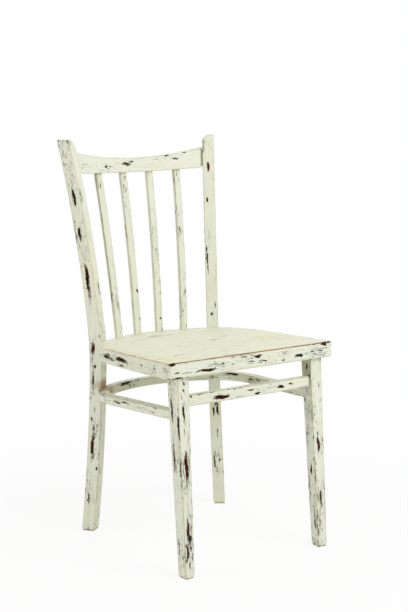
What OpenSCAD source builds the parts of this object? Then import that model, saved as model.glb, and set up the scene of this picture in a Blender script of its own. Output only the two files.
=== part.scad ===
// Painted bentwood side chair.
// The chair stands on z = 0 and faces -Y, with the middle of its footprint at the origin.
// Heights are measured from the floor, and depths run back from the seat's front edge
// until chair() moves the whole chair onto its origin.

/* [Seat] */
// Height of the seat's top at its front edge
seat_height = 455; // [400:1:500]
// Slope of the seat and of the stretcher hoop, down towards the back, in degrees
seat_tilt = 2.8; // [0:0.1:5]
// Width of the seat across its front edge
seat_width = 429; // [380:1:480]
// Depth of the seat from its front edge to the middle of its rear bow
seat_depth = 413; // [370:1:460]
// Width of the seat where the rear corners begin
seat_rear_width = 403; // [360:1:440]
// How far each side swells out between its ends
seat_side_swell = 2.2; // [0:0.1:5]
// Radius of the rear bow
seat_bow_r = 256; // [220:1:400]
// Radius of the rear corners
seat_corner_r = 130; // [60:1:170]
// Radius of the front corners
seat_front_r = 9; // [4:1:20]
// Thickness of the plywood panel
panel_t = 6; // [4:0.5:12]
// Height of the bent seat hoop and of the front rail
hoop_h = 28; // [20:1:40]
// Thickness of the seat hoop, seen from above
hoop_t = 26; // [20:1:34]
// Depth of the front rail, front to back
rail_d = 24; // [18:1:30]
// Length of each corner block along the rail
block_l = 62; // [55:1:80]

/* [Rear posts] */
// Height of the post tops
post_height = 884.5; // [780:1:1000]
// Width of a post, side to side
post_w = 27; // [20:0.5:34]
// Depth of a post, front to back
post_d = 29.5; // [24:0.5:38]
// How far the posts are turned in, towards the middle of the seat, in degrees
post_turn = 34; // [10:1:40]
// Distance from the seat's side, where its rear corner begins, in to a post's middle
post_inset = 44; // [30:0.5:60]
// Distance from the seat's rear bow forward to the posts' middles, at the seat
post_setback = 40; // [30:0.5:45]
// How far a foot stands outside the post's middle at the seat
foot_splay = 24; // [0:1:40]
// How far a foot stands behind the post's middle at the seat
foot_kick = 5; // [0:0.2:30]
// How far the post is bowed forward between foot and seat
foot_belly = 3.8; // [0:0.5:15]
// How far the top of a post stands outside its middle at the seat
top_flare = 35.5; // [0:1:60]
// How far the top of a post leans back
top_rake = 71.5; // [30:1:110]
// Radius of the rounded inner corner at the top of the left and of the right post
post_top_r = [25, 19];

/* [Back] */
// Distance from the tops of the posts down to the crest rail's lower edge at its ends
crest_drop = 75.5; // [60:0.5:160]
// Height of the crest rail at its ends
crest_h = 46.3; // [35:1:60]
// How far the top edge dips in the middle
crest_dip = 19.3; // [0:1:30]
// How far the lower edge sags in the middle
crest_sag = 4.8; // [0:0.5:12]
// How far the crest rail is bowed back
crest_bow = 27; // [10:1:45]
// Thickness of the crest rail
crest_t = 20; // [16:0.5:26]
// Width of the open joint at the right end of the crest rail
crest_gap = 5; // [0:0.5:8]
// Thickness of the crest tenons
crest_tenon_t = 10; // [6:0.5:12]
// Height of the crest tenons
crest_tenon_h = 42; // [20:1:44]
// Length of a crest tenon inside its post
crest_tenon_l = 11; // [8:0.5:14]
// Width of a slat
slat_w = 16.4; // [12:0.2:24]
// Thickness of a slat
slat_t = 8; // [6:0.5:10]
// Distances from the middle of the chair to the inner and outer slats, at the seat
slat_x_low = [29.6, 89.8];
// Distances from the middle of the chair to the inner and outer slats, at the crest rail
slat_x_high = [35.6, 106.4];
// How far the feet of all the slats stand off to the left
slat_feet_off = 4; // [0:0.5:5]
// Distance of the crest rail's ends behind the posts' middles
crest_setback = 6; // [0:0.5:8]
// Distance from the seat's rear edge to the middle of a slat
slat_inset = 8; // [7:0.5:14]
// How far the slats are bowed forward
slat_bow = 4.6; // [0:0.2:8]
// Depth of a slat's end in the seat and in the crest rail
slat_let_in = 14; // [8:1:20]

/* [Front legs] */
// Distance from the seat's side in to a leg's middle, at the seat
leg_inset = 39.2; // [34:0.2:50]
// How far a leg's foot stands outside its top
leg_splay = 2.2; // [0:0.2:20]
// Distance from the seat's front edge back to a leg's middle, at the floor and at the seat
leg_y = [-8, 26.6];
// Width and depth of a leg at the floor
leg_foot = [22.2, 25.6];
// Width and depth of a leg under the seat
leg_top = [28.6, 34.6];
// How far the legs are turned in, in degrees
leg_turn = 4.6; // [0:0.2:10]
// Width, depth and height of the tenon on top of a leg
leg_tenon = [17, 14, 20];

/* [Stretchers] */
// Distance from the seat's top, at its front edge, down to the front stretcher's lower edge
stretcher_drop = 98; // [70:1:200]
// Height of the front stretcher
stretcher_h = 22.8; // [16:0.5:30]
// Thickness of the front stretcher
stretcher_t = 15; // [12:0.5:20]
// How far the stretcher's front face stands behind the legs' front faces
stretcher_inset = 6; // [3:0.5:10]
// Distance from the seat's top, at its front edge, down to the plane of the hoop's underside
ring_drop = 124.5; // [100:0.5:220]
// Height of the stretcher hoop's section
ring_h = 18.5; // [14:0.5:22]
// Thickness of the stretcher hoop, seen from above
ring_t = 22.5; // [20:0.5:30]
// Distance from the seat's rear edge forward to the inside of the hoop's rear bow
ring_bow_inset = 17.5; // [10:0.5:40]
// Radius inside the rear bow of the hoop
ring_bow_r = 237; // [220:1:400]
// Radius inside the rear corners of the hoop
ring_corner_r = 114; // [50:1:130]
// Distance from a front leg's middle, at the seat, in to the inside of the hoop
ring_leg_inset = 13.4; // [10:0.1:20]
// Distance from the seat's side, where its rear corner begins, in to the inside of the hoop
ring_side_inset = 23.1; // [20:0.1:40]
// Length of the tenons on the front stretcher and on the hoop's ends
stretcher_tenon = 12; // [8:1:14]

/* [Fasteners] */
// Diameter of the seat bolts
bolt_d = 6; // [5:0.5:8]
// Diameter of a seat bolt's domed head
bolt_head_d = 15; // [12:0.5:18]
// Diameter of a washer
washer_d = 14; // [12:0.5:18]
// Thickness of a washer
washer_t = 1.5; // [1:0.1:2]
// Thickness of a nut
nut_t = 5; // [4:0.5:7]
// Width of a nut across its flats
nut_af = 10; // [8:0.5:12]
// Diameter of the wood screws
screw_d = 4; // [3:0.5:5]
// Diameter of the screws' countersunk heads
screw_head_d = 8; // [6:0.5:9]

/* [Hidden] */
$fn = 48;

paint = "ivory";
bare_wood = "burlywood";
rusty_steel = "sienna";

left = -1;
right = 1;
far = 2000;            // reaches past the whole chair
over = 1;              // how far a cutting shape runs past the face that it opens
joint_play = 0.1;      // room at the bottom of each mortise
ring_steps = 22;       // rings in a bent post
bend_above = 8;        // how far a post's bend lies above the middle of the seat's edge
bend_smooth = 60;      // height over which the posts' two curves run together
corner_depth = 126;    // depth of a hoop's rear bow and corners, behind its arms
side_steps = 8;        // straight lengths in a hoop's arm, in its corner and in half its bow
corner_steps = 12;
bow_steps = 14;
tenon_cheek = 3;       // wood left beside a tenon
tenon_shoulder = 4;    // wood left above and below a tenon

seat_t = panel_t + hoop_h;
post_x = seat_rear_width / 2 - post_inset;
crest_z = post_height - crest_drop;
leg_x = [seat_width / 2 - leg_inset + leg_splay, seat_width / 2 - leg_inset];
stretcher_z = seat_height - stretcher_drop;
ring_z = seat_height - ring_drop;
ring_depth = seat_depth - ring_bow_inset;
ring_half = [leg_x[1] - ring_leg_inset, seat_rear_width / 2 - ring_side_inset];
seat_drop = tan(seat_tilt);
// height of the seat's top, and of its underside, at a depth y from the front edge
function seat_top_z(y) = seat_height - y * seat_drop;
function seat_under_z(y) = seat_top_z(y) - seat_t / cos(seat_tilt);

// ---- posts -------------------------------------------------------------------------
post_y = seat_depth - post_setback;
bend_z = seat_top_z(post_y) - seat_t / 2 + bend_above;
lift = post_height - bend_z;
// how much of each bend is straight rather than curved
foot_splay_straight = 0.39;
top_flare_straight = 0.48;
top_rake_straight = 0.63;

// part of a bend reached after a share t of its length, for a bend that starts out straight
function ease(t, straight) = straight * t + (1 - straight) * t * t;
function post_x_raw(z) = post_x + (z < bend_z
    ? foot_splay * ease((bend_z - z) / bend_z, foot_splay_straight)
    : top_flare * ease((z - bend_z) / lift, top_flare_straight));
function post_y_raw(z) = post_y + (z < bend_z
    ? foot_kick * (bend_z - z) / bend_z
      - 4 * foot_belly * (bend_z - z) / bend_z * z / bend_z
    : top_rake * ease((z - bend_z) / lift, top_rake_straight));
// the mean over a short height, which rounds the bend at the seat
function smooth_share(z) = min(1, abs(min(z, post_height - z)) / bend_smooth);
function post_point(z) = let(s = bend_smooth / 2 * smooth_share(z))
    [for (f = [0, 1]) (f == 0
        ? post_x_raw(z - s) + 2 * post_x_raw(z) + post_x_raw(z + s)
        : post_y_raw(z - s) + 2 * post_y_raw(z) + post_y_raw(z + s)) / 4];

function turned(p, angle) = [p.x * cos(angle) - p.y * sin(angle),
                             p.x * sin(angle) + p.y * cos(angle)];
function box_section(w, d) = [[-w / 2, -d / 2], [w / 2, -d / 2], [w / 2, d / 2], [-w / 2, d / 2]];

// A solid through level four-cornered sections, given from the bottom up
module through_sections(rings) {
    n = len(rings);
    points = [for (ring = rings) for (p = ring) p];
    sides = [for (i = [0 : n - 2]) for (k = [0 : 3])
        [4 * i + k, 4 * (i + 1) + k, 4 * (i + 1) + (k + 1) % 4, 4 * i + (k + 1) % 4]];
    ends = [[0, 1, 2, 3], [4 * n - 1, 4 * n - 2, 4 * n - 3, 4 * n - 4]];
    polyhedron(points, concat(sides, ends), convexity = 4);
}

// The bent stick of a post before its top is rounded and its joints are cut.
// shift moves it inwards, and the crest rail uses that to stand off it.
module post_stick(side, shift = 0) {
    rings = [for (i = [0 : ring_steps])
        let(z = post_height * i / ring_steps, c = post_point(z))
        [for (p = box_section(post_w, post_d))
            let(q = turned(p, -side * post_turn))
            [side * (c.x - shift) + q.x, c.y + q.y, z]]];
    through_sections(rings);
}

// The direction that a post's front face looks in, at an extra angle away from it
function post_front(side, extra = 0) = turned([0, -1], -side * (post_turn + extra));

// A point of a post's middle line, on its own side
function post_middle(side, z) = let(c = post_point(z)) [side * c.x, c.y];

// Height at which the seat bolts pass through the posts
bolt_z = seat_top_z(post_y) - panel_t - hoop_h / 2;

module rear_post(side) {
    top = post_middle(side, post_height);
    top_r = post_top_r[side == left ? 0 : 1];
    color(paint) difference() {
        post_stick(side);
        translate([top.x, top.y, post_height])
            rotate(-side * post_turn)
            scale([-side, 1, 1])
            translate([post_w / 2 - top_r, 0, -top_r])
            rounding_cutter(top_r, 2 * post_d);
        crest_tenon(side, joint_play);
        seat_bolt_hole(side);
        hoop_screw(side);
    }
}

// What is cut away to round an edge that runs along Y, with the material at -X and -Z
module rounding_cutter(r, length) {
    difference() {
        translate([0, -length / 2, 0])
            cube([r + over, length, r + over]);
        rotate([90, 0, 0])
            cylinder(r = r, h = length + 2 * over, center = true);
    }
}

// ---- bent outlines -----------------------------------------------------------------
// A bent hoop's outline on its right half, seen from above, from front to rear middle:
// an arm, a corner and half of the rear bow. grow moves the outline outwards.
function unit(v) = v / norm(v);
function arm_normal(front, rear) = let(d = unit(rear - front)) [d.y, -d.x];
function corner_centre(front, rear, depth, bow_r, corner_r) =
    let(d = unit(rear - front),
        out = arm_normal(front, rear),
        w = front - out * corner_r - [0, depth - bow_r],
        b = w * d,
        c = w * w - pow(bow_r - corner_r, 2))
    front - out * corner_r + d * (-b + sqrt(b * b - c));
function angle_of(v) = atan2(v.y, v.x);
function arc(centre, r, from, to, steps) =
    [for (i = [0 : steps]) let(a = from + (to - from) * i / steps)
        centre + r * [cos(a), sin(a)]];

function bent_half(front, rear, depth, bow_r, corner_r, swell, grow) =
    let(centre = corner_centre(front, rear, depth, bow_r, corner_r),
        out = arm_normal(front, rear),
        first = front + out * grow,
        last = centre + out * (corner_r + grow),
        join = angle_of(centre - [0, depth - bow_r]))
    concat(
        [for (i = [0 : side_steps - 1]) let(t = i / side_steps)
            first + (last - first) * t + out * 4 * swell * t * (1 - t)],
        arc(centre, corner_r + grow, angle_of(out), join, corner_steps),
        arc([0, depth - bow_r], bow_r + grow, join + (90 - join) / bow_steps, 90,
            bow_steps - 1));

function mirrored(path) = [for (i = [len(path) - 1 : -1 : 0]) [-path[i].x, path[i].y]];

// ---- seat --------------------------------------------------------------------------
seat_front_point = [seat_width / 2, 0];
seat_rear_point = [seat_rear_width / 2, seat_depth - corner_depth];
function seat_path(grow = 0) = bent_half(seat_front_point, seat_rear_point, seat_depth,
    seat_bow_r, seat_corner_r, seat_side_swell, grow);
seat_corner = corner_centre(seat_front_point, seat_rear_point, seat_depth, seat_bow_r,
    seat_corner_r);

// The seat seen from above, and the space inside its hoop
module seat_plan(grow = 0) {
    path = seat_path(grow);
    intersection() {
        polygon(concat(path, mirrored(path)));
        union() {
            translate([-far / 2, seat_front_r])
                square([far, far]);
            for (side = [left, right])
                translate([side * (seat_width / 2 - seat_front_r), seat_front_r])
                circle(r = seat_front_r);
            translate([-seat_width / 2 + seat_front_r, 0])
                square([seat_width - 2 * seat_front_r, far]);
        }
    }
}

// Puts its children in the seat's sloping plane, below its top by the given depth
module in_seat(depth_below = 0) {
    translate([0, 0, seat_height])
        rotate([-seat_tilt, 0, 0])
        translate([0, 0, -depth_below])
        children();
}

module post_sticks() {
    post_stick(left);
    post_stick(right);
}

module seat_panel() {
    color(paint) difference() {
        in_seat(panel_t)
            linear_extrude(panel_t)
            seat_plan();
        post_sticks();
        slats();
        for (side = [left, right])
            block_screw(side);
    }
}

module seat_hoop() {
    color(paint) difference() {
        in_seat(seat_t)
            linear_extrude(hoop_h)
            difference() {
                seat_plan();
                polygon(concat(seat_path(-hoop_t), mirrored(seat_path(-hoop_t))));
                translate([-far / 2, -far + rail_d])
                    square([far, far]);
            }
        post_sticks();
        slats();
        for (side = [left, right]) {
            seat_bolt_hole(side);
            leg_top_tenon(side, joint_play);
        }
    }
}

module seat_front_rail() {
    color(paint)
        in_seat(seat_t)
        linear_extrude(hoop_h)
        intersection() {
            seat_plan();
            translate([-far / 2, 0])
                square([far, rail_d]);
        }
}

module corner_block(side) {
    corner = [seat_width / 2 - hoop_t, rail_d];
    color(bare_wood) difference() {
        in_seat(seat_t)
            linear_extrude(hoop_h)
            intersection() {
                polygon(concat(seat_path(-hoop_t), mirrored(seat_path(-hoop_t))));
                scale([side, 1])
                    polygon([corner - [block_l, 0], corner + [over, 0],
                             corner + [over, block_l + over]]);
            }
        leg_top_tenon(side, joint_play);
        block_screw(side);
    }
}

// ---- front legs --------------------------------------------------------------------
leg_top_z = seat_under_z(leg_y[1]);
function between(pair, t) = pair[0] + (pair[1] - pair[0]) * t;
function leg_section(side, z) =
    let(t = z / leg_top_z,
        size = between([leg_foot, leg_top], t),
        middle = [side * between(leg_x, t), between(leg_y, t)])
    [for (p = box_section(size.x, size.y))
        let(q = turned(p, -side * leg_turn)) [middle.x + q.x, middle.y + q.y, z]];

// The tapered leg before its joints are cut; it runs up into the seat
module leg_stick(side) {
    through_sections([leg_section(side, 0), leg_section(side, leg_top_z + hoop_h / 2)]);
}

module leg_top_tenon(side, play = 0) {
    in_seat(seat_t + over)
        translate([side * leg_x[1] - leg_tenon.x / 2, rail_d + tenon_cheek, 0])
        cube(leg_tenon + [0, 0, play]);
}

module front_leg(side) {
    color(paint) difference() {
        union() {
            difference() {
                leg_stick(side);
                in_seat(seat_t)
                    translate([-far / 2, -far / 2, 0])
                    cube(far);
            }
            leg_top_tenon(side);
        }
        stretcher_tenon(side, joint_play);
        hoop_tenon(side, joint_play);
    }
}

// ---- stretchers --------------------------------------------------------------------
stretcher_mid_z = stretcher_z + stretcher_h / 2;
stretcher_y = leg_section(right, stretcher_mid_z)[0].y + stretcher_inset;
stretcher_shoulder = leg_section(right, stretcher_mid_z)[3].x;

module stretcher_tenon(side, play = 0) {
    length = 2 * stretcher_tenon + play;
    translate([side * (stretcher_shoulder + play / 2), stretcher_y + stretcher_t / 2,
               stretcher_mid_z])
        cube([length, stretcher_t - 2 * tenon_cheek, stretcher_h - 2 * tenon_shoulder],
            center = true);
}

module front_stretcher() {
    color(paint) {
        difference() {
            translate([-leg_x[1], stretcher_y, stretcher_z])
                cube([2 * leg_x[1], stretcher_t, stretcher_h]);
            leg_stick(left);
            leg_stick(right);
        }
        for (side = [left, right])
            stretcher_tenon(side);
    }
}

ring_front_point = [ring_half[0], 0];
ring_rear_point = [ring_half[1], seat_depth - corner_depth];
function ring_path(grow) = bent_half(ring_front_point, ring_rear_point, ring_depth,
    ring_bow_r, ring_corner_r, 0, grow);
ring_corner = corner_centre(ring_front_point, ring_rear_point, ring_depth, ring_bow_r,
    ring_corner_r);
ring_leg_z = ring_z + ring_h / 2 - leg_y[1] * seat_drop;
ring_shoulder = leg_section(right, ring_leg_z)[2].y;

module in_ring(depth_above = 0) {
    translate([0, 0, ring_z])
        rotate([-seat_tilt, 0, 0])
        translate([0, 0, depth_above])
        children();
}

module hoop_tenon(side, play = 0) {
    in_ring(ring_h / 2)
        translate([side * (ring_half[0] + ring_t / 2), ring_shoulder - play / 2, 0])
        cube([ring_t - 4 * tenon_cheek, 2 * stretcher_tenon + play, ring_h - 2 * tenon_cheek],
            center = true);
}

module stretcher_hoop() {
    outer = ring_path(ring_t);
    inner = ring_path(0);
    color(paint) {
        difference() {
            in_ring()
                linear_extrude(ring_h)
                intersection() {
                    difference() {
                        polygon(concat(outer, mirrored(outer)));
                        polygon(concat(inner, mirrored(inner)));
                    }
                    translate([-far / 2, leg_y[1]])
                        square([far, far]);
                }
            post_sticks();
            leg_stick(left);
            leg_stick(right);
            hoop_screw(left);
            hoop_screw(right);
        }
        for (side = [left, right])
            hoop_tenon(side);
    }
}

// ---- back --------------------------------------------------------------------------
crest_half = post_point(crest_z + crest_h / 2).x - post_w / 2 * cos(post_turn);
crest_r = (pow(crest_half, 2) + pow(crest_bow, 2)) / (2 * crest_bow);
crest_reach = crest_half + post_w / 2;
crest_mid_z = crest_z + crest_h / 2;
crest_lean = atan((post_point(crest_z + crest_h).y - post_point(crest_z).y) / crest_h);
crest_mid_y = post_point(crest_mid_z).y + crest_setback + crest_bow;

// The middle of the crest rail's thickness, at a place across and a height
function crest_y(x, z) = crest_mid_y - (crest_r - sqrt(crest_r * crest_r - x * x))
    + (z - crest_mid_z) * tan(crest_lean);

module crest_band() {
    translate([0, crest_mid_y, crest_mid_z])
        rotate([-crest_lean, 0, 0])
        translate([0, -crest_r, 0])
        linear_extrude(3 * crest_h, center = true)
        intersection() {
            difference() {
                circle(r = crest_r + crest_t / 2, $fn = 180);
                circle(r = crest_r - crest_t / 2, $fn = 180);
            }
            translate([-crest_reach, crest_r / 2])
                square([2 * crest_reach, crest_r]);
        }
}

// The crest rail from the front: a dipped top edge over a slightly sagging lower one
module crest_face() {
    steps = 20;
    function across(i) = crest_reach * (2 * i / steps - 1);
    function hollow(i) = 1 - pow(across(i) / crest_half, 2);
    polygon(concat(
        [for (i = [0 : steps]) [across(i), crest_z - crest_sag * hollow(i)]],
        [for (i = [steps : -1 : 0]) [across(i), crest_z + crest_h - crest_dip * hollow(i)]]));
}

module crest_tenon(side, play = 0) {
    inner_y = crest_y(crest_half, crest_mid_z);
    length = crest_tenon_l + play;
    translate([side * crest_half, inner_y, crest_mid_z])
        rotate(-side * post_turn)
        rotate([-crest_lean, 0, 0])
        translate([side * (length / 2 - crest_gap), 0, 0])
        cube([length + 2 * crest_gap, crest_tenon_t, crest_tenon_h], center = true);
}

module crest_rail() {
    color(paint) difference() {
        union() {
            difference() {
                intersection() {
                    crest_band();
                    translate([0, far / 2, 0])
                        rotate([90, 0, 0])
                        linear_extrude(far)
                        crest_face();
                }
                post_sticks();
                post_stick(right, crest_gap);
            }
            for (side = [left, right])
                crest_tenon(side);
        }
        slats();
    }
}

// Slats 1 to 4 run from left to right
function slat_side(i) = i < 3 ? left : right;
function slat_outer(i) = (i == 1 || i == 4) ? 1 : 0;

module slat(i) {
    side = slat_side(i);
    low_x = slat_x_low[slat_outer(i)] - side * slat_feet_off;
    high_x = slat_x_high[slat_outer(i)];
    low_y = seat_depth - seat_bow_r + sqrt(pow(seat_bow_r - slat_inset, 2) - low_x * low_x);
    low_z = seat_top_z(low_y);
    high_z = crest_z - crest_sag * (1 - pow(high_x / crest_half, 2));
    high_y = crest_y(high_x, high_z);
    rise = high_z - low_z;
    steps = 12;
    function share(k) = (k / steps) * (1 + 2 * slat_let_in / rise) - slat_let_in / rise;
    function middle_y(t) = low_y + (high_y - low_y) * t - 4 * slat_bow * t * (1 - t);
    function edge(k, offset) = let(t = share(k)) [middle_y(t) + offset, rise * t];
    translate([side * low_x, 0, low_z])
        rotate([0, side * atan((high_x - low_x) / rise), 0])
        rotate([90, 0, 90])
        linear_extrude(slat_w, center = true)
        polygon(concat([for (k = [0 : steps]) edge(k, slat_t / 2)],
                       [for (k = [steps : -1 : 0]) edge(k, -slat_t / 2)]));
}

module slats() {
    for (i = [1 : 4])
        slat(i);
}

module back_slat(i) {
    color(paint) slat(i);
}

// ---- fasteners ---------------------------------------------------------------------
// How far it is from a point along a direction to the circle around a centre
function reach_circle(from, dir, centre, r) =
    let(w = from - centre, b = w * dir)
    -b - sqrt(b * b - (w * w - r * r));

// Places its children on a level line that runs forward from a post's middle, with +Z
// along the line
module along_post_line(side, z, extra) {
    middle = post_middle(side, z);
    translate([middle.x, middle.y, z])
        rotate(angle_of(post_front(side, extra)))
        rotate([0, 90, 0])
        children();
}

// The washer lies in a spot face inside the seat hoop's corner
spot_depth = 5;
bolt_reach = reach_circle(post_middle(right, bolt_z), post_front(right), seat_corner,
    seat_corner_r - hoop_t) - spot_depth;

module seat_bolt_hole(side) {
    along_post_line(side, bolt_z, 0) {
        cylinder(d = bolt_d, h = 4 * post_d, center = true);
        translate([0, 0, bolt_reach])
            cylinder(d = washer_d + 2 * over, h = 4 * spot_depth);
    }
}

module seat_bolt(side) {
    color(rusty_steel) {
        along_post_line(side, bolt_z, 0)
            translate([0, 0, -post_d / 2 - over / 2])
            cylinder(d = bolt_d, h = post_d / 2 + bolt_reach + washer_t + nut_t + 2 * over);
        difference() {
            along_post_line(side, bolt_z, 0)
                translate([0, 0, -post_d / 2 - 2 * over])
                bolt_head();
            post_stick(side);
        }
    }
}

// A low round head that reaches a little past the post's rear face
head_taper = 2.5;
module bolt_head() {
    cylinder(d = bolt_head_d, h = 3 * over);
    translate([0, 0, -over])
        cylinder(d1 = bolt_head_d - 2 * head_taper, d2 = bolt_head_d, h = over);
}

module seat_bolts() {
    for (side = [left, right])
        seat_bolt(side);
}

module seat_washers() {
    color(rusty_steel)
        for (side = [left, right])
            along_post_line(side, bolt_z, 0)
                translate([0, 0, bolt_reach])
                difference() {
                    cylinder(d = washer_d, h = washer_t);
                    cylinder(d = bolt_d, h = 3 * washer_t, center = true);
                }
}

module seat_nuts() {
    color(rusty_steel)
        for (side = [left, right])
            along_post_line(side, bolt_z, 0)
                translate([0, 0, bolt_reach + washer_t])
                difference() {
                    cylinder(d = nut_af / cos(30), h = nut_t, $fn = 6);
                    cylinder(d = bolt_d, h = 3 * nut_t, center = true);
                }
}

// A countersunk screw: its head's face is at z = 0 and it points down -Z
module wood_screw(length) {
    head_h = (screw_head_d - screw_d) / 2;
    translate([0, 0, -length])
        cylinder(d = screw_d, h = length);
    translate([0, 0, -head_h])
        cylinder(d1 = screw_d, d2 = screw_head_d, h = head_h);
}

// The stretcher hoop is screwed to each post from the inside of its corner, at an angle
// away from the way that the post faces
screw_turn = 6;
hoop_screw_l = 36;
hoop_screw_z = ring_z + ring_h / 2 - post_y * seat_drop;
hoop_screw_reach = reach_circle(post_middle(right, hoop_screw_z),
    post_front(right, screw_turn), ring_corner, ring_corner_r);

module hoop_screw(side) {
    along_post_line(side, hoop_screw_z, screw_turn)
        translate([0, 0, hoop_screw_reach])
        wood_screw(hoop_screw_l);
}

module hoop_screws() {
    color(rusty_steel)
        for (side = [left, right])
            hoop_screw(side);
}

// Each corner block is screwed up into the panel from below, and a little of the panel
// is left over the screw's tip
screw_cover = 2;
module block_screw(side) {
    from_corner = block_l / 4;
    in_seat(seat_t)
        translate([side * (seat_width / 2 - hoop_t - 2 * from_corner), rail_d + from_corner, 0])
        rotate([180, 0, 0])
        wood_screw(seat_t - screw_cover);
}

module block_screws() {
    color(rusty_steel)
        for (side = [left, right])
            block_screw(side);
}

// ---- whole chair -------------------------------------------------------------------
front_reach = min([for (p = leg_section(right, 0)) p.y]);
rear_reach = crest_y(0, crest_z + crest_h - crest_dip) + crest_t / 2 / cos(crest_lean);

// Moves the chair from the seat's front edge to the middle of its footprint
module chair() {
    translate([0, -(front_reach + rear_reach) / 2, 0])
        children();
}

chair() rear_post(left);  // rear_post_left
chair() rear_post(right);  // rear_post_right
chair() crest_rail();
chair() back_slat(1);  // back_slat_1
chair() back_slat(2);  // back_slat_2
chair() back_slat(3);  // back_slat_3
chair() back_slat(4);  // back_slat_4
chair() seat_panel();
chair() seat_hoop();
chair() seat_front_rail();
chair() corner_block(left);  // corner_block_left
chair() corner_block(right);  // corner_block_right
chair() front_leg(left);  // front_leg_left
chair() front_leg(right);  // front_leg_right
chair() front_stretcher();
chair() stretcher_hoop();
chair() seat_bolts();
chair() seat_washers();
chair() seat_nuts();
chair() hoop_screws();
chair() block_screws();
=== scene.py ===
"""The looks of an old painted side chair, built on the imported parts."""

import math

import bpy
import numpy as np
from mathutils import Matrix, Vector
from mathutils.bvhtree import BVHTree


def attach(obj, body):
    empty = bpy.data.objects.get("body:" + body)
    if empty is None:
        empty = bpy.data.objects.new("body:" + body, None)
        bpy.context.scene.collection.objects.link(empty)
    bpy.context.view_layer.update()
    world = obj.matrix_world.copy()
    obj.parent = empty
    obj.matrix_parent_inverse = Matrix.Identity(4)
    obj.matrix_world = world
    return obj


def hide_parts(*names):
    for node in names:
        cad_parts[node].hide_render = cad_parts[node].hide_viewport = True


MM = 0.001
SENSOR_WIDTH = 36
CAMERA_FAR = 50

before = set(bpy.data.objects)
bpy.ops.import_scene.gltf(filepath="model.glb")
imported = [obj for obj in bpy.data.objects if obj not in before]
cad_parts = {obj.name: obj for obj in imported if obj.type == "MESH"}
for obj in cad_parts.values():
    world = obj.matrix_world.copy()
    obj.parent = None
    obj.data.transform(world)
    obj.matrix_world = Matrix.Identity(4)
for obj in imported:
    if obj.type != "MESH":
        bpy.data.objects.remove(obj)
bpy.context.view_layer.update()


# ---- camera, floor and lamps ---------------------------------------------------------
def direction(azimuth, elevation):
    """The way out from the chair to a camera or a lamp, from two angles in degrees."""
    a, e = math.radians(azimuth), math.radians(elevation)
    return Vector((math.sin(a) * math.cos(e), -math.cos(a) * math.cos(e), math.sin(e)))


def add_camera(azimuth, elevation, distance, target, lens):
    data = bpy.data.cameras.new("camera")
    data.lens = lens
    data.sensor_width = SENSOR_WIDTH
    data.clip_end = CAMERA_FAR
    camera = bpy.data.objects.new("camera", data)
    back = direction(azimuth, elevation)
    camera.location = Vector(target) + back * distance
    camera.rotation_mode = "QUATERNION"
    camera.rotation_quaternion = (-back).to_track_quat("-Z", "Y")
    bpy.context.scene.collection.objects.link(camera)
    bpy.context.scene.camera = camera


add_camera(
    azimuth=-34.96, elevation=9.63, distance=3.1637, target=(0.0004, -0.0440, 0.5273), lens=84.95
)

LAMP_TARGET = Vector((0, 0, 0.4))


def add_lamp(name, watts, azimuth, elevation, distance, size, colour):
    """A round soft box: its distance and size are in metres."""
    data = bpy.data.lights.new(name, "AREA")
    data.shape = "DISK"
    data.size = size
    data.energy = watts
    data.color = colour
    lamp = bpy.data.objects.new(name, data)
    back = direction(azimuth, elevation)
    lamp.location = LAMP_TARGET + back * distance
    lamp.rotation_mode = "QUATERNION"
    lamp.rotation_quaternion = (-back).to_track_quat("-Z", "Y")
    bpy.context.scene.collection.objects.link(lamp)


add_lamp("key", 46, 20, 41, distance=3.2, size=2.2, colour=(0.99, 1.0, 1.0))
add_lamp("fill", 22.5, -98, 20, distance=3.4, size=2.4, colour=(1.0, 0.985, 0.93))
add_lamp("back_fill", 17, 160, 35, distance=3.4, size=2.4, colour=(1.0, 0.99, 0.96))


# ---- node trees ----------------------------------------------------------------------
class Tree:
    """Adds nodes to a node tree: inputs are numbers, colours or other nodes' outputs."""

    def __init__(self, tree):
        self.tree = tree
        tree.nodes.clear()

    def add(self, kind, inputs=None, **properties):
        node = self.tree.nodes.new(kind)
        for key, value in properties.items():
            setattr(node, key, value)
        for key, value in (inputs or {}).items():
            if isinstance(value, bpy.types.NodeSocket):
                self.tree.links.new(value, node.inputs[key])
            elif isinstance(value, tuple) and len(value) == 3 and node.inputs[key].type == "RGBA":
                node.inputs[key].default_value = (*value, 1)
            else:
                node.inputs[key].default_value = value
        return node

    def math(self, operation, a, b=0.0, clamp=False):
        node = self.add("ShaderNodeMath", {0: a, 1: b}, operation=operation)
        node.use_clamp = clamp
        return node.outputs[0]

    def step(self, value, low, high, out_low=0.0, out_high=1.0):
        """A smooth step of value from low to high."""
        node = self.add(
            "ShaderNodeMapRange",
            {0: value, 1: low, 2: high, 3: out_low, 4: out_high},
            interpolation_type="SMOOTHSTEP",
        )
        return node.outputs[0]

    def mix(self, share, a, b):
        """Colour a where share is 0, and colour b where it is 1."""
        node = self.add("ShaderNodeMix", data_type="RGBA")
        for index, value in ((0, share), (6, a), (7, b)):
            if isinstance(value, bpy.types.NodeSocket):
                self.tree.links.new(value, node.inputs[index])
            else:
                node.inputs[index].default_value = (*value, 1) if index else value
        return node.outputs[2]

    def noise(self, vector, scales, detail, roughness=0.55, offset=(0, 0, 0), distortion=0.0):
        """A noise from 0 to 1, with a scale of its own along each axis."""
        place = self.add("ShaderNodeMapping", {"Vector": vector, "Scale": scales, "Location": offset})
        node = self.add(
            "ShaderNodeTexNoise",
            {
                "Vector": place.outputs[0],
                "Scale": 1.0,
                "Detail": detail,
                "Roughness": roughness,
                "Distortion": distortion,
            },
        )
        return node.outputs[0]

    def attribute(self, name):
        return self.add("ShaderNodeAttribute", attribute_name=name)


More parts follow.
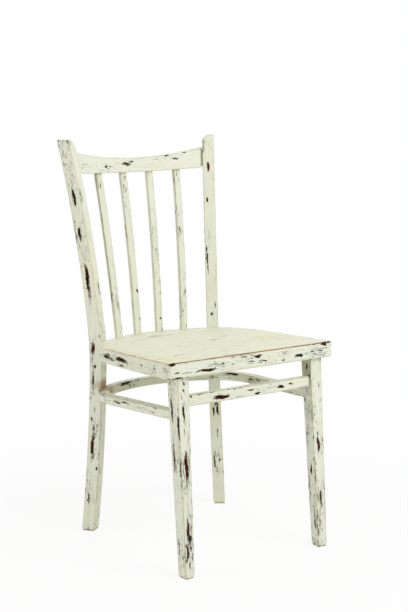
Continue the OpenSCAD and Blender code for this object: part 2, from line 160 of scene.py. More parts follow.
def new_material(name):
    material = bpy.data.materials.new(name)
    material.use_nodes = True
    return material, Tree(material.node_tree)


WHITE = (1.0, 1.0, 1.0)
WORLD_STRENGTH = 0.57
FLOOR_HALF = 30.0
# The chair's shadow shows on the floor up to here, and fades out to there, in metres
SHADOW_NEAR, SHADOW_FAR = 0.30, 1.3
# The share of plain white in the floor under the chair
SHADOW_WHITE = 0.87
PAPER_DARK, PAPER_LIGHT = (0.86, 0.86, 0.85), (0.90, 0.90, 0.89)


def shown_white(t):
    """1 for rays by which the background is seen straight, in a reflection or through glass."""
    seen = t.add("ShaderNodeLightPath").outputs
    shown = t.math("MAXIMUM", seen["Is Camera Ray"], seen["Is Glossy Ray"])
    return t.math("MAXIMUM", shown, seen["Is Transmission Ray"])


def make_world():
    world = bpy.data.worlds.new("studio")
    world.use_nodes = True
    bpy.context.scene.world = world
    t = Tree(world.node_tree)
    strength = t.add(
        "ShaderNodeMapRange", {0: shown_white(t), 3: WORLD_STRENGTH, 4: 1.0}
    ).outputs[0]
    light = t.add("ShaderNodeBackground", {"Color": WHITE, "Strength": strength})
    t.add("ShaderNodeOutputWorld", {"Surface": light.outputs[0]})


def make_floor():
    mesh = bpy.data.meshes.new("floor")
    corners = [(x * FLOOR_HALF, y * FLOOR_HALF, 0) for x, y in ((-1, -1), (1, -1), (1, 1), (-1, 1))]
    mesh.from_pydata(corners, [], [(0, 1, 2, 3)])
    floor = bpy.data.objects.new("floor", mesh)
    bpy.context.scene.collection.objects.link(floor)
    material, t = new_material("floor_paper")
    place = t.add("ShaderNodeTexCoord").outputs["Object"]
    grain = t.noise(place, (300, 300, 300), 2)
    reach = t.add("ShaderNodeVectorMath", {0: place}, operation="LENGTH").outputs["Value"]
    pale = t.step(reach, SHADOW_NEAR, SHADOW_FAR, SHADOW_WHITE, 1.0)
    paper = t.add("ShaderNodeBsdfDiffuse", {"Color": t.mix(grain, PAPER_DARK, PAPER_LIGHT)})
    white = t.add("ShaderNodeEmission", {"Color": WHITE, "Strength": 1.0})
    share = t.math("MULTIPLY", shown_white(t), pale)
    surface = t.add("ShaderNodeMixShader", {0: share, 1: paper.outputs[0], 2: white.outputs[0]})
    t.add("ShaderNodeOutputMaterial", {"Surface": surface.outputs[0]})
    mesh.materials.append(material)


make_world()
make_floor()
bpy.context.scene.view_settings.view_transform = "Standard"


# ---- materials -----------------------------------------------------------------------
# Old paint reads six attributes that each piece carries: grain, its place in millimetres
# along and across the wood; chip, how far a point is inside a chip in millimetres; rub, how
# much it is on an arris; grime, how dirty it is, with painted shade beside other parts and a
# painted contact shadow at the feet; wear, how worn it is; and dull, how grey it has gone,
# which is mostly painted shade on sides turned from the light or in shadow under the seat. A
# noise's scales are along the grain, across it and through it, per millimetre.
CHALK = (0.80, 0.825, 0.69)
CREAM = (0.80, 0.74, 0.49)
OCHRE = (0.62, 0.47, 0.24)
GREY_FILM = (0.50, 0.53, 0.44)
HAIR_GREY = (0.24, 0.245, 0.19)
# Paint gone grey, used mostly as painted shade on sides turned from the light
DULL_AND_SHADE_PAINT = (0.41, 0.41, 0.25)
# Brown for stains and dirt, also painted shade beside other parts and a painted contact shadow at the
# feet
STAIN_AND_SHADE = (0.42, 0.235, 0.09)
DARK_WOOD = (0.007, 0.003, 0.002)
RED_WOOD = (0.090, 0.014, 0.009)
BROWN_WOOD = (0.25, 0.11, 0.07)
# How strongly each of these shows at most
FILM_SHOWS, HAIRS_SHOW, STAIN_AND_SHADE_SHOWS, DULL_AND_SHADE_SHOWS, HALO_SHOWS = 0.42, 0.62, 0.72, 0.75, 0.28
FLECKS_SHOW, RUBBED_SHOWS, YELLOW_SHOWS, OCHRE_SHOWS = 0.95, 0.85, 0.24, 0.62
# Where each of these starts, and where it is full
CHIP_STEP, HALO_STEP = (-0.08, 0.08), (-1.3, 0.0)
FLECK_STEP, HAIR_STEP = (0.657, 0.670), (0.60, 0.68)
RUBBED_STEP, OCHRE_STEP, YELLOW_STEP = (1.06, 1.18), (0.35, 1.0), (0.42, 0.72)
FILM_STEP, STAIN_AND_SHADE_STEP, RED_STEP = (0.50, 0.78), (0.45, 1.0), (0.43, 0.65)
# Millimetres by which two noises move a chip's edge out, and by which it is moved back in
BROAD_RAGGED, FINE_RAGGED, RAGGED_BACK = 5.0, 7.5, 6.65
# How much patches help flecks and hairs to show above this level of their noise, and how much
# wear helps them and the rubbing
PATCH_LEVEL, PATCH_HELPS, WEAR_HELPS, WEAR_HELPS_RUB = 0.54, 0.50, 0.07, 0.06
# How much an arris helps to rub the paint off, and to yellow it
RUB_HELPS, RUB_YELLOWS = 0.62, 0.75
# How much the mottling makes stains, dirt and painted shade stronger above this level of its
# noise, or weaker below
MOTTLE_LEVEL, MOTTLE_STAINS_AND_SHADE = 0.5, 1.2
# The bump is in shares of the paint's thickness: brush strokes, grit and rubbed-off paint
STROKES_HIGH, GRIT_HIGH, RUBBED_LOW = 0.20, 0.12, 0.6
# From the least rough to the roughest
PAINT_ROUGH, RAW_ROUGH, RUST_ROUGH = (0.52, 0.82), (0.68, 0.88), (0.55, 0.85)
PAINT_SPECULAR = 0.12
# Each bump's strength, and its height in metres
PAINT_BUMP, RAW_BUMP, RUST_BUMP = (0.8, 0.0005), (0.6, 0.0004), (0.7, 0.0003)
RUST_METALLIC = 0.25
RAW_LIGHT, RAW_DARK, RAW_BLOTCH = (0.30, 0.19, 0.105), (0.12, 0.068, 0.035), (0.09, 0.06, 0.04)
RUST_DARK, RUST_LIGHT = (0.045, 0.022, 0.014), (0.20, 0.075, 0.028)
PAINT_ON_STEEL = (0.62, 0.60, 0.46)


def add_skin(t, colour, rough, height, strength, distance):
    """The surface that a material ends in, with a bump of that strength and height."""
    bump = t.add("ShaderNodeBump", {"Strength": strength, "Distance": distance, "Height": height})
    skin = t.add(
        "ShaderNodeBsdfPrincipled",
        {"Base Color": colour, "Roughness": rough, "Normal": bump.outputs[0]},
    )
    t.add("ShaderNodeOutputMaterial", {"Surface": skin.outputs[0]})
    return skin


def ragged_chip(t, grain, chip):
    """How far a point is inside a chip whose edge is ragged."""
    broad = t.noise(grain, (0.045, 0.30, 0.30), 3, 0.6)
    fine = t.noise(grain, (0.16, 0.95, 0.95), 4, 0.7, (2, 2, 5))
    broad, fine = t.math("MULTIPLY", broad, BROAD_RAGGED), t.math("MULTIPLY", fine, FINE_RAGGED)
    ragged = t.math("SUBTRACT", t.math("ADD", broad, fine), RAGGED_BACK)
    return t.math("ADD", chip, ragged)


def flecks_and_hairs(t, grain, wear):
    """Small losses of paint and thin dark cracks, more of them in patches and where worn."""
    patches = t.noise(grain, (0.010, 0.035, 0.035), 2, 0.5, (7, 3, 1))
    ease = t.math("MULTIPLY", t.math("SUBTRACT", patches, PATCH_LEVEL), PATCH_HELPS)
    ease = t.math("ADD", ease, t.math("MULTIPLY", wear, WEAR_HELPS))
    flecks = t.noise(grain, (0.080, 0.42, 0.42), 3, 0.62, (3, 9, 4))
    hairs = t.noise(grain, (0.020, 0.60, 0.60), 3, 0.6, (5, 2, 8))
    flecks = t.step(t.math("ADD", flecks, ease), *FLECK_STEP)
    hairs = t.step(t.math("ADD", hairs, ease), *HAIR_STEP)
    return flecks, hairs


def aged_paint(t, grain, rub, film, hairs, stain_and_shade, dull):
    """Chalky paint, yellowed in patches and along arrises, with a grey film, stains, dirt and painted
    shade.
    """
    yellowed = t.step(t.noise(grain, (0.006, 0.02, 0.02), 3, 0.6, (2, 4, 6)), *YELLOW_STEP)
    yellowed = t.math("MULTIPLY", yellowed, YELLOW_SHOWS)
    yellowed = t.math("ADD", yellowed, t.math("MULTIPLY", rub, RUB_YELLOWS), clamp=True)
    paint = t.mix(yellowed, CHALK, CREAM)
    paint = t.mix(t.step(rub, *OCHRE_STEP, 0.0, OCHRE_SHOWS), paint, OCHRE)
    paint = t.mix(t.math("MULTIPLY", film, FILM_SHOWS), paint, GREY_FILM)
    paint = t.mix(t.math("MULTIPLY", hairs, HAIRS_SHOW), paint, HAIR_GREY)
    paint = t.mix(t.math("MULTIPLY", stain_and_shade, STAIN_AND_SHADE_SHOWS), paint, STAIN_AND_SHADE)
    return t.mix(t.math("MULTIPLY", dull, DULL_AND_SHADE_SHOWS), paint, DULL_AND_SHADE_PAINT)


def old_paint():
    material, t = new_material("old_paint")
    grain = t.attribute("grain").outputs["Vector"]
    chip, rub, grime, wear, dull = (
        t.attribute(name).outputs["Fac"] for name in ("chip", "rub", "grime", "wear", "dull")
    )

    # where the paint is off
    chip = ragged_chip(t, grain, chip)
    chipped = t.step(chip, *CHIP_STEP)
    flecks, hairs = flecks_and_hairs(t, grain, wear)
    mottle = t.noise(grain, (0.05, 0.20, 0.20), 4, 0.7, (1, 6, 2))
    rubbed, worn = t.math("MULTIPLY", rub, RUB_HELPS), t.math("MULTIPLY", wear, WEAR_HELPS_RUB)
    rubbed = t.step(t.math("ADD", t.math("ADD", rubbed, worn), mottle), *RUBBED_STEP)
    bare = t.math("MAXIMUM", chipped, t.math("MULTIPLY", flecks, FLECKS_SHOW))

    # the paint, a little creamier round the chips
    film = t.step(t.noise(grain, (0.016, 0.26, 0.26), 4, 0.62, (8, 1, 5)), *FILM_STEP)
    # Stains and dirt, with painted shade beside other parts and a painted contact shadow at the feet
    blot = t.math("MULTIPLY", t.math("SUBTRACT", mottle, MOTTLE_LEVEL), MOTTLE_STAINS_AND_SHADE)
    stain_and_shade = t.step(t.math("ADD", grime, blot), *STAIN_AND_SHADE_STEP)
    paint = aged_paint(t, grain, rub, film, hairs, stain_and_shade, dull)
    paint = t.mix(t.math("MULTIPLY", t.step(chip, *HALO_STEP), HALO_SHOWS), paint, CREAM)

    # the wood under it
    red = t.step(t.noise(grain, (0.05, 0.22, 0.22), 3, 0.6, (6, 6, 1)), *RED_STEP)
    wood = t.mix(red, DARK_WOOD, RED_WOOD)
    colour = t.mix(t.math("MULTIPLY", rubbed, RUBBED_SHOWS), paint, BROWN_WOOD)
    colour = t.mix(bare, colour, wood)

    # paint stands a little proud of the wood, and has dried in brush strokes
    off = t.math("MAXIMUM", bare, t.math("MULTIPLY", rubbed, RUBBED_LOW))
    strokes = t.noise(grain, (0.03, 0.9, 0.9), 3, 0.6, (4, 7, 9))
    grit = t.noise(grain, (1.2, 1.2, 1.2), 2, 0.6)
    strokes, grit = t.math("MULTIPLY", strokes, STROKES_HIGH), t.math("MULTIPLY", grit, GRIT_HIGH)
    height = t.math("SUBTRACT", t.math("ADD", strokes, grit), off)
    rough = t.step(t.math("ADD", film, off), 0.0, 1.2, *PAINT_ROUGH)
    skin = add_skin(t, colour, rough, height, *PAINT_BUMP)
    skin.inputs["Specular IOR Level"].default_value = PAINT_SPECULAR
    return material


def raw_wood():
    material, t = new_material("raw_old_wood")
    place = t.add("ShaderNodeTexCoord").outputs["Object"]
    rings = t.noise(place, (14, 260, 260), 4, 0.6, distortion=0.4)
    blotch = t.noise(place, (18, 30, 30), 3, 0.6)
    colour = t.mix(t.step(rings, 0.35, 0.68), RAW_LIGHT, RAW_DARK)
    colour = t.mix(t.step(blotch, 0.45, 0.75), colour, RAW_BLOTCH)
    add_skin(t, colour, t.step(blotch, 0.3, 0.7, *RAW_ROUGH), rings, *RAW_BUMP)
    return material


def rusty_steel():
    material, t = new_material("rusty_steel")
    place = t.add("ShaderNodeTexCoord").outputs["Object"]
    scale = t.noise(place, (420, 420, 420), 4, 0.65)
    paint_left = t.step(t.noise(place, (260, 260, 260), 3, 0.6, (3, 1, 2)), 0.50, 0.56)
    colour = t.mix(t.step(scale, 0.36, 0.64), RUST_DARK, RUST_LIGHT)
    colour = t.mix(t.math("MULTIPLY", paint_left, 0.85), colour, PAINT_ON_STEEL)
    skin = add_skin(t, colour, t.step(scale, 0.3, 0.7, *RUST_ROUGH), scale, *RUST_BUMP)
    skin.inputs["Metallic"].default_value = RUST_METALLIC
    return material


PAINT, RAW, RUST = old_paint(), raw_wood(), rusty_steel()


# ---- pieces --------------------------------------------------------------------------
def cad_mesh(node):
    """A node's points, in metres, and its triangles."""
    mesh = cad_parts[node].data
    points = np.empty(len(mesh.vertices) * 3)
    mesh.vertices.foreach_get("co", points)
    mesh.calc_loop_triangles()
    faces = np.empty(len(mesh.loop_triangles) * 3, dtype=np.int64)
    mesh.loop_triangles.foreach_get("vertices", faces)
    return points.reshape(-1, 3), faces.reshape(-1, 3)


CAD = {name: cad_mesh(name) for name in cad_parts}


def join(nodes):
    """The points, in metres, and the triangles of the given nodes together."""
    points, faces, count = [], [], 0
    for node in nodes:
        p, f = CAD[node]
        points.append(p)
        faces.append(f + count)
        count += len(p)
    return np.concatenate(points).tolist(), np.concatenate(faces).tolist()


# How often a piece's box is halved for its mesh, and how much of that box the piece fills
HALVINGS, TALL_HALVINGS, BOX_FILLED = 8, 9, 0.95
# How far a point moves towards its neighbours in one round of smoothing
SOFTEN = 0.5


def weathered_copy(name, nodes, halvings=HALVINGS, pitch=None, rounds=2):
    """One fine even mesh over the given nodes, with its arrises worn round.

    The mesh halves the piece's box so many times, which keeps the arrises straight, or has
    the given pitch in millimetres. rounds is how often it is smoothed.
    """
    points, faces = join(nodes)
    mesh = bpy.data.meshes.new(name)
    mesh.from_pydata(points, [], faces)
    piece = bpy.data.objects.new(name, mesh)
    bpy.context.scene.collection.objects.link(piece)
    remesh = piece.modifiers.new("even", "REMESH")
    if pitch:
        remesh.mode = "VOXEL"
        remesh.voxel_size = pitch * MM
    else:
        remesh.mode = "SHARP"
        remesh.octree_depth = halvings
        remesh.scale = BOX_FILLED
        remesh.use_remove_disconnected = False
    soften = piece.modifiers.new("soften", "SMOOTH")
    soften.factor = SOFTEN
    soften.iterations = rounds
    ready = piece.evaluated_get(bpy.context.evaluated_depsgraph_get())
    piece.data = bpy.data.meshes.new_from_object(ready)
    piece.modifiers.clear()
    piece.data.shade_smooth()
    piece.data.materials.clear()
    piece.data.materials.append(PAINT)
    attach(piece, "root")
    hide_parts(*nodes)
    return piece


def read(items, name, width, kind=np.float32):
    """A property of each of a mesh's items, in rows of that many numbers."""
    values = np.empty(len(items) * width, dtype=kind)
    items.foreach_get(name, values)
    return values.reshape(-1, width)


def points_of(piece):
    """A piece's points, in millimetres."""
    return read(piece.data.vertices, "co", 3).astype(float) / MM


def store(mesh, name, values):
    """Gives a mesh's points an attribute of one number or three."""
    kind = "FLOAT_VECTOR" if values.ndim == 2 else "FLOAT"
    made = mesh.attributes.new(name, kind, "POINT")
    made.data.foreach_set("vector" if kind == "FLOAT_VECTOR" else "value", values.ravel())


def ramp(values, low, high):
    """0 up to low, 1 from high on, and a smooth step between them."""
    t = np.clip((values - low) / (high - low), 0, 1)
    return t * t * (3 - 2 * t)


# How the middle line of an upright stick is found: from so far above its foot, at every so
# many millimetres, and from the points that are so near in height
LEVEL_START, LEVEL_STEP, LEVEL_NEAR = 5, 20, 14
# The same for a hoop, in degrees round its centre
TURN_END, TURN_STEP, TURN_NEAR = 178, 4.0, 3


def stick_map(points, turn):
    """Millimetres up an upright stick, and across it both ways."""
    levels = np.arange(points[:, 2].min() + LEVEL_START, points[:, 2].max(), LEVEL_STEP)
    middles = []
    for level in levels:
        near = points[np.abs(points[:, 2] - level) < LEVEL_NEAR, :2]
        middles.append((near.min(0) + near.max(0)) / 2)
    middles = np.array(middles)
    c, s = math.cos(math.radians(turn)), math.sin(math.radians(turn))

    def place(p):
        x = p[:, 0] - np.interp(p[:, 2], levels, middles[:, 0])
        y = p[:, 1] - np.interp(p[:, 2], levels, middles[:, 1])
        return np.column_stack([p[:, 2], x * c + y * s, y * c - x * s])

    return place


def hoop_map(points, centre_y):
    """Millimetres round a hoop, across it, and up it."""

    def angle(p):
        return np.degrees(np.arctan2(p[:, 0], p[:, 1] - centre_y))

    turns = np.arange(-TURN_END, TURN_END + 1, TURN_STEP)
    at, radii = angle(points), np.hypot(points[:, 0], points[:, 1] - centre_y)
    middle, known = [], []
    for turn in turns:
        near = radii[np.abs(at - turn) < TURN_NEAR]
        if len(near):
            known.append(turn)
            middle.append((near.min() + near.max()) / 2)
    known, middle = np.array(known), np.array(middle)
    ring = middle[:, None] * np.column_stack(
        [np.sin(np.radians(known)), np.cos(np.radians(known))]
    )
    run = np.concatenate([[0], np.cumsum(np.hypot(*np.diff(ring, axis=0).T))])

    def place(p):
        a, r = angle(p), np.hypot(p[:, 0], p[:, 1] - centre_y)
        return np.column_stack([np.interp(a, known, run), r - np.interp(a, known, middle), p[:, 2]])

    return place


def board_map(p):
    """Millimetres along a board that runs along x, and across it both ways."""
    return p.copy()


# What chip says far from every chip, and the most that a chip's width counts for, in mm
NO_CHIP, WIDEST = -6.0, 6.5
# A chip strays sideways by this share of its width, in waves that are wider on a longer chip,
# and each chip's waves start a step further on
CHIP_STRAY, CHIP_WAVES, CHIP_MARGIN, WAVE_STEP = 0.10, 9, 10, 1.7
# A chip is felt up to this many times its own reach
CHIP_FELT = 2.4
# How many rounds of smoothing a point is compared with, to tell how far it stands out
SURROUNDINGS = 3


def chip_field(place, points, chips):
    """How far each point is inside the nearest chip, in millimetres."""
    field = np.full(len(points), NO_CHIP)
    for i, (x, y, z, length, width) in enumerate(chips):
        nearest = points[np.argmin(((points - (x, y, z)) ** 2).sum(1))]
        along, across, up = (place(points) - place(nearest[None])).T
        wave = np.sin(along * CHIP_WAVES / (length + CHIP_MARGIN) + WAVE_STEP * i)
        wander = CHIP_STRAY * width * wave
        across = np.hypot(across + wander, up + wander * (-1) ** i)
        reach = np.hypot(along / (length / 2), across / (width / 2))
        inside = np.where(reach < CHIP_FELT, (1 - reach) * min(width, WIDEST) / 2, NO_CHIP)
        field = np.maximum(field, inside)
    return field


def convexity(mesh, points, normals):
    """Millimetres by which each point stands out of its surroundings."""
    edges = read(mesh.edges, "vertices", 2, np.int32)
    count = np.bincount(edges.ravel(), minlength=len(points))[:, None]
    smooth = points.copy()
    for _ in range(SURROUNDINGS):
        total = np.zeros_like(smooth)
        for axis in range(3):
            total[:, axis] = np.bincount(
                edges[:, 0], smooth[edges[:, 1], axis], len(points)
            ) + np.bincount(edges[:, 1], smooth[edges[:, 0], axis], len(points))
        smooth = (1 - SOFTEN) * smooth + SOFTEN * total / np.maximum(count, 1)
    return ((points - smooth) * normals).sum(1)


# How strong the dirt and painted shade are beside another part, and how strong a stain is in
# its middle
DIRT_AND_SHADE, STAIN_STRENGTH = 0.35, 1.1
# Millimetres that the dirt and painted shade reach from another part, and that the dirt and
# painted contact shadow reach up from the floor
DIRT_AND_SHADE_REACH, FLOOR_DIRT_AND_SHADOW_REACH = 9.0, 8
# Millimetres by which a point stands out where it starts to rub, and where it rubs most
RUB_FROM, RUB_TO = 0.04, 0.34
# Each piece's grain starts at its own place in the noise
GRAIN_STEP, GRAIN_PLACES = 131.0, 89
# Millimetres by which a chip is sunk, and how far inside the chip that starts and is full
CHIP_DEPTH, CHIP_RIM = 0.45, (-0.2, 0.8)
# Millimetres by which a foot is rounded in at the floor, and the height where that ends
FOOT_ROUND, FOOT_HEIGHT = 3.2, 9
# A patch holds where the surface turns towards its way from the first cosine on, and fully
# from the second. It fades between these squares of the distance, as shares of its reach
PATCH_FACES, PATCH_FADES = (0.3, 0.7), (0.4, 1.3)


def near_others(points, nodes):
    """1 where a point touches one of the other parts, falling to 0 where the dirt and painted shade
    end.
    """
    tree = BVHTree.FromPolygons(*join([node for node in CAD if node not in nodes]))
    away = np.full(len(points), DIRT_AND_SHADE_REACH)
    for i, p in enumerate(points * MM):
        hit = tree.find_nearest(p, DIRT_AND_SHADE_REACH * MM)
        if hit[3] is not None:
            away[i] = hit[3] / MM
    return 1 - ramp(away, 0, DIRT_AND_SHADE_REACH)


def patch(points, normals, places):
    """A soft patch round each place: (middle, reach along x, y and z, way it faces, amount)."""
    total = np.zeros(len(points))
    for middle, reach, way, amount in places:
        away = (((points - middle) / reach) ** 2).sum(1)
        facing = ramp(normals @ np.array(way, float), *PATCH_FACES)
        total += amount * facing * (1 - ramp(away, *PATCH_FADES))
    return total


def age(piece, nodes, regions, chips, wear, stains=(), line=None, dull=(), worn=(), edges=1.0):
    """Gives a piece the attributes that old paint reads, and sinks its chips a little.

    regions is a list of (where, map): the first map holds for the whole piece, and each later
    one where its function of points and normals is true. wear is such a function too, and so
    is line, which says where the paint has rubbed through in a line. stains is a list of
    places and radii, dull and worn are lists of soft patches, and edges is how far the
    arrises have rubbed. The dull patches grey the paint, and most of them are painted shade.
    """
    mesh = piece.data
    points = points_of(piece)
    normals = read(mesh.vertex_normals, "vector", 3).astype(float)
    grain = np.zeros_like(points)
    chip = np.full(len(points), NO_CHIP)
    for where, place in regions:
        here = where(points, normals) if where else np.ones(len(points), bool)
        grain[here] = place(points)[here]
        chip[here] = chip_field(place, points, chips)[here]
    out = convexity(mesh, points, normals)
    grain += GRAIN_STEP * (sum(piece.name.encode()) % GRAIN_PLACES)
    store(mesh, "grain", grain.astype(np.float32))
    store(mesh, "chip", chip.astype(np.float32))
    rub = edges * ramp(out, RUB_FROM, RUB_TO)
    if line:
        rub = np.maximum(rub, line(points, normals))
    # Dirt with a painted contact shadow at the feet, and dirt with painted shade beside other parts
    floor_dirt_and_shadow = 1 - ramp(points[:, 2], 0, FLOOR_DIRT_AND_SHADOW_REACH)
    grime = np.maximum(DIRT_AND_SHADE * near_others(points, nodes), floor_dirt_and_shadow)
    for x, y, z, radius in stains:
        away = np.sqrt(((points - (x, y, z)) ** 2).sum(1))
        grime = np.maximum(grime, STAIN_STRENGTH * (1 - ramp(away, 0, radius)))
    store(mesh, "rub", rub.astype(np.float32))
    store(mesh, "grime", grime.astype(np.float32))
    tired = wear(points, normals) + patch(points, normals, worn)
    store(mesh, "wear", tired.astype(np.float32))
    # Greying patches, mostly painted shade on sides turned from the light or under the seat
    store(mesh, "dull", patch(points, normals, dull).astype(np.float32))
    sunk = points - normals * (CHIP_DEPTH * ramp(chip, *CHIP_RIM))[:, None]
    foot = FOOT_ROUND * np.clip(1 - points[:, 2] / FOOT_HEIGHT, 0, 1) ** 2
    sunk[:, :2] -= normals[:, :2] * foot[:, None]
    mesh.vertices.foreach_set("co", (sunk * MM).astype(np.float32).ravel())
    mesh.update()


def even(value):
    """The same wear all over."""
    return lambda points, normals: np.full(len(points), float(value))


def low_worn(base, foot, height):
    """Wear of base, and of foot more at the floor, fading up to the given height."""
    return lambda points, normals: base + foot * (1 - ramp(points[:, 2], 0, height))


def stick(name, turn, chips, wear, halvings=HALVINGS, rounds=2, **more):
    """One upright stick of the chair, turned by so many degrees about its own length."""
    piece = weathered_copy(name + "_painted", [name], halvings, rounds=rounds)
    place = stick_map(points_of(piece), turn)
    age(piece, [name], [(None, place)], chips, wear, **more)


# ---- posts, legs and slats -----------------------------------------------------------
# Ways that a soft patch may face
OUT_LEFT, FRONT = (-1, 0, 0), (0, -1, 0)
FRONT_RIGHT, FRONT_LEFT = (0.5, -0.8, 0), (-0.8, -0.6, 0)
# Degrees by which the left post and the left front leg are turned. The right ones mirror them
POST_TURN, LEG_TURN = 34, 4.6

# Each chip is the place of its middle, its length along the grain and its width, in mm. Most
# of the places, here and on the pieces below, and many of the lengths and widths come from a
# scratch program that read them off the photo's dark marks, and so do the places of two of
# the three stains. Those weren't chosen by hand.
stick("rear_post_left", POST_TURN, [
    (-177, 155, 574, 88, 10), (-185, 172, 678, 40, 8.5), (-180, 139, 194, 64, 9),
    (-191, 184, 758, 44, 8), (-173, 143, 421, 33, 9), (-174, 141, 347, 44, 4),
    (-189, 143, 76, 26, 5), (-177, 138, 242, 16, 4), (-166, 130, 142, 20, 3),
    (-171, 138, 381, 9, 6), (-176, 129, 147, 9, 5), (-179, 142, 262, 12, 4),
    (-200, 202, 845, 16, 3), (-171, 130, 248, 14, 3), (-144, 136, 373, 14, 2.5),
    (-163, 130, 450, 14, 2.5), (-174, 136, 284, 13, 3), (-159, 129, 246, 12, 3),
    (-195, 139, 3, 22, 3),
    (-166, 176, 520, 58, 8), (-178, 196, 700, 40, 7), (-171, 157, 250, 46, 6),
    (-152, 152, 560, 26, 5),
], even(0.35), TALL_HALVINGS, stains=[(-153, 131, 337, 40)],
    worn=[
        ((-176, 166, 780), (14, 16, 40), FRONT_RIGHT, 2.4),
        ((-188, 142, 20), (34, 34, 46), FRONT_LEFT, -1.6),
    ])
stick("rear_post_right", -POST_TURN, [
    (153, 134, 234, 28, 5), (160, 129, 237, 30, 6.5), (157, 131, 252, 12, 6),
    (176, 189, 810, 28, 6.5), (158, 138, 112, 41, 5),
    (151, 158, 596, 46, 4.5), (150, 138, 468, 9, 6.5), (164, 178, 734, 11, 5),
    (152, 162, 620, 18, 4), (158, 135, 488, 14, 3), (168, 131, 113, 10, 5),
    (166, 132, 126, 12, 3), (162, 131, 180, 20, 3), (177, 127, 82, 15, 3),
    (165, 135, 86, 18, 3), (160, 136, 123, 12, 3), (151, 153, 569, 12, 3),
    (166, 176, 600, 52, 8), (180, 160, 480, 40, 7), (188, 190, 760, 36, 6), (182, 150, 210, 56, 7),
], even(-0.1), TALL_HALVINGS, worn=[
    ((162, 132, 128), (30, 30, 62), FRONT, 0.7), ((168, 132, 18), (34, 34, 46), FRONT, -2.2),
])
stick("front_leg_left", LEG_TURN, [
    (-174, -232, 233, 76, 10.5), (-188, -229, 239, 56, 5), (-190, -209, 254, 70, 5),
    (-190, -201, 352, 54, 6.5), (-176, -224, 349, 46, 6), (-188, -223, 320, 60, 7),
    (-184, -246, 42, 16, 5), (-189, -224, 74, 26, 4), (-189, -227, 54, 14, 3),
    (-168, -245, 41, 17, 3), (-176, -227, 309, 17, 3), (-174, -221, 394, 8, 5),
    (-183, -244, 71, 9, 5), (-188, -220, 356, 22, 3), (-188, -233, 197, 14, 3),
    (-172, -219, 407, 9, 4), (-173, -226, 322, 11, 3), (-178, -242, 104, 50, 6.5),
    (-174, -241, 84, 34, 6.2), (-180, -245, 58, 30, 6), (-176, -247, 30, 22, 5),
], even(0.65), worn=[
    ((-176, -242, 92), (10, 12, 58), FRONT, 0.9), ((-178, -248, 14), (16, 14, 30), FRONT, -0.6),
], dull=[((-176, -242, 92), (10, 12, 52), FRONT, 0.12)])
stick("front_leg_right", -LEG_TURN, [
    (161, -205, 400, 19, 7), (161, -214, 380, 14, 6), (161, -200, 374, 12, 6),
    (175, -232, 228, 42, 8), (176, -241, 109, 40, 6.5), (164, -221, 172, 25, 8),
    (165, -235, 51, 22, 6.5), (164, -236, 167, 30, 3), (180, -223, 362, 13, 3),
    (165, -232, 89, 26, 3), (165, -234, 70, 15, 4), (166, -248, 4, 18, 3),
    (174, -230, 254, 15, 4), (163, -232, 198, 10, 4), (162, -230, 246, 9, 3),
    (164, -234, 189, 13, 3), (167, -246, 31, 14, 3),
    (192, -214, 260, 54, 7), (193, -220, 118, 34, 6), (190, -208, 382, 22, 6),
# The upper left side, in the seat's shadow, gets painted shade as a dull patch
], low_worn(base=0.7, foot=0.6, height=220), dull=[((161, -206, 405), (12, 22, 62), OUT_LEFT, 0.85)])
# The left sides of the first two slats get painted shade as dull patches
stick("back_slat_1", 0, [
    (-105, 169, 536, 12, 4), (-106, 213, 777, 11, 2.5),
], even(0.12), rounds=1, dull=[((-112, 195, 640), (10, 60, 300), OUT_LEFT, 0.8)])
stick("back_slat_2", 0, [
    (-29, 182, 534, 10, 5), (-43, 208, 678, 16, 2.5), (-43, 205, 663, 14, 3.5),
    (-42, 183, 503, 15, 2.5), (-28, 175, 470, 9, 3),
], even(0.1), rounds=1, dull=[((-43, 195, 640), (10, 60, 300), OUT_LEFT, 0.25)])
stick("back_slat_3", 0, [(30, 175, 466, 6, 5)], even(0.1), rounds=1)
stick("back_slat_4", 0, [(96, 169, 523, 10, 3)], even(0.0), rounds=1)


# ---- level boards --------------------------------------------------------------------
def board(name, chips, wear):
    """One level board or rail that runs across the chair."""
    piece = weathered_copy(name + "_painted", [name])
    age(piece, [name], [(None, board_map)], chips, wear)


board("crest_rail", [
    (-27, 226, 823, 26, 10), (104, 219, 831, 21, 5), (80, 224, 839, 15, 5),
    (-87, 219, 821, 12, 5.5), (-15, 227, 828, 15, 4), (126, 217, 845, 12, 5),
    (58, 245, 826, 26, 8), (-72, 243, 832, 18, 7), (-110, 240, 822, 14, 5),
], even(0.1))
board("front_stretcher", [
    (-76, -215, 366, 44, 10.5), (82, -215, 367, 20, 7), (-126, -215, 379, 27, 3.5),
    (19, -215, 362, 17, 5.5), (2, -215, 370, 18, 4), (109, -215, 370, 13, 5),
    (-102, -214, 380, 22, 3), (-41, -215, 379, 8, 4), (-152, -215, 378, 6, 4),
    (-25, -215, 380, 12, 3), (-57, -215, 380, 9, 3),
], even(0.2))

# ---- stretcher hoop and seat ---------------------------------------------------------
# The y of the point that both hoops are bent round, in millimetres
HOOP_CENTRE = -20
SEAT = ["seat_panel", "seat_hoop", "seat_front_rail"]
SEAT_PITCH = 2.3
# The seat's hoop is bent behind the first y, and its front face is in front of the second
BENT_BEHIND, FACE_BEFORE = -195, -205
# The height of the seat's edge at the front, the y there, and its fall per millimetre back
SEAT_TOP, SEAT_FRONT, SEAT_FALL = 455, -228, 0.0489
# The bare line along that edge: how far down it lies and how wide it is, in millimetres, and
# how strong it is in front and on the left side, and how rubbed the whole top is
LINE_DOWN, LINE_WIDE, LINE_IN_FRONT, LINE_AT_LEFT, TOP_RUBBED = 1.0, 1.1, 1.6, 1.1, 0.28
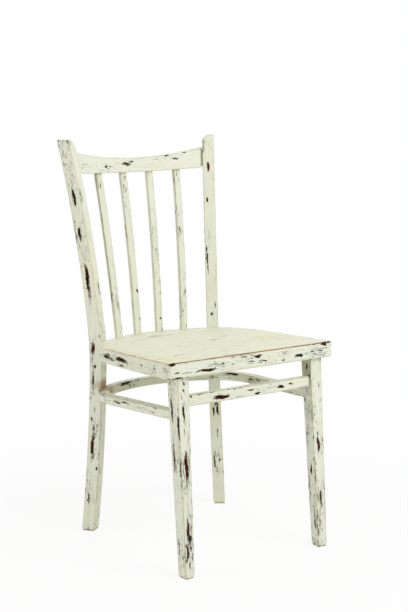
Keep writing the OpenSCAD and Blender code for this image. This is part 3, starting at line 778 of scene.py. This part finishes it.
# Where that line runs: in front of this y, and on the left beyond this x up to this y
LINE_BEFORE, LINE_LEFT_OF, LINE_ENDS = -222, -185, 40
TOP_WEAR, SIDE_WEAR = -0.2, 0.3
# A surface counts as level, or as facing sideways, from this cosine on
MOSTLY = 0.6


def level(points, normals):
    """The seat's top and its underside."""
    return np.abs(normals[:, 2]) > MOSTLY


def in_front(points, normals):
    """The face of the seat's front rail."""
    return (points[:, 1] < FACE_BEFORE) & (np.abs(normals[:, 0]) < MOSTLY)


def seat_wear(points, normals):
    """Less worn on top than at the sides."""
    return np.where(normals[:, 2] > MOSTLY, TOP_WEAR, SIDE_WEAR)


def seat_line(points, normals):
    """Where the seat's upper edge is rubbed to the wood: in front and at the left."""
    top = SEAT_TOP - SEAT_FALL * (points[:, 1] - SEAT_FRONT)
    near = np.exp(-(((points[:, 2] - top + LINE_DOWN) / LINE_WIDE) ** 2))
    front = points[:, 1] < LINE_BEFORE
    left = (points[:, 0] < LINE_LEFT_OF) & (points[:, 1] < LINE_ENDS)
    line = near * np.where(front, LINE_IN_FRONT, np.where(left, LINE_AT_LEFT, 0))
    return np.maximum(line, TOP_RUBBED * (normals[:, 2] > MOSTLY))


hoop = weathered_copy("stretcher_hoop_painted", ["stretcher_hoop"])
age(hoop, ["stretcher_hoop"], [(None, hoop_map(points_of(hoop), HOOP_CENTRE))], [
    (169, 78, 333, 39, 8), (-82, 153.5, 329, 46, 12), (176, 20, 329, 36, 4),
    (-198, 1, 329, 34, 4), (174, -12, 333, 25, 4), (-196, -30, 334, 20, 4),
    (-33, 173, 329, 13, 4), (-190, -127, 333, 17, 3), (-106, 147, 331, 24, 4),
    (-66, 158, 319, 8, 5), (-191, -30, 339, 26, 3),
    (200, -40, 330, 44, 6), (198, 30, 334, 24, 5), (60, 188, 322, 36, 6),
], even(0.4), stains=[(-156, 128, 336, 78), (137, 121, 321, 12)], dull=[
    # Painted shade on the hoop's inner faces that lie in shadow under the seat
    ((166, -40, 330), (20, 120, 40), OUT_LEFT, 0.62),
    ((0, 150, 325), (150, 60, 30), FRONT, 0.4),
    ((-118, 140, 330), (60, 40, 30), FRONT_RIGHT, 0.25),
])

seat = weathered_copy("seat_painted", SEAT, pitch=SEAT_PITCH)
bent = points_of(seat)
bent = bent[bent[:, 1] > BENT_BEHIND]
age(seat, SEAT, [
    (None, hoop_map(bent, HOOP_CENTRE)), (in_front, board_map), (level, board_map),
], [
    (-124, -229, 431, 56, 7), (120, -229, 433, 30, 8), (-195, -230, 422, 32, 6),
    (11, -229, 444, 22, 7), (28, -229, 433, 18, 4), (-169, -229, 431, 21, 4),
    (-196, -229, 434, 14, 4), (77, -229, 429, 9, 5), (181, -229, 438, 12, 4),
    (-21, -228, 448, 7, 4), (-208, -40, 430, 60, 10.5), (-203, 36, 425, 30, 10),
    (-208, -38, 417, 26, 5), (-212, -120, 433, 26, 4.5), (-213, -172, 436, 24, 4),
    (-204, 26, 432, 11, 4), (-206, -228, 454, 22, 11), (189, -228, 452, 22, 9.5),
    (203, -228, 454, 10, 6), (209, -70, 430, 50, 9), (205, 24, 424, 26, 8),
    (212, -160, 436, 24, 6), (208, -96, 444, 16, 6), (40, 183, 428, 34, 7),
], seat_wear, line=seat_line, edges=0.5)


# ---- corner blocks and fixings -------------------------------------------------------
def finish_bare_parts():
    """The corner blocks are unpainted wood, and the fixings are rusty."""
    for name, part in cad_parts.items():
        if name.startswith("corner_block"):
            finish = RAW
        elif name.endswith(("bolts", "washers", "nuts", "screws")):
            finish = RUST
        else:
            continue
        part.data.materials.clear()
        part.data.materials.append(finish)


finish_bare_parts()
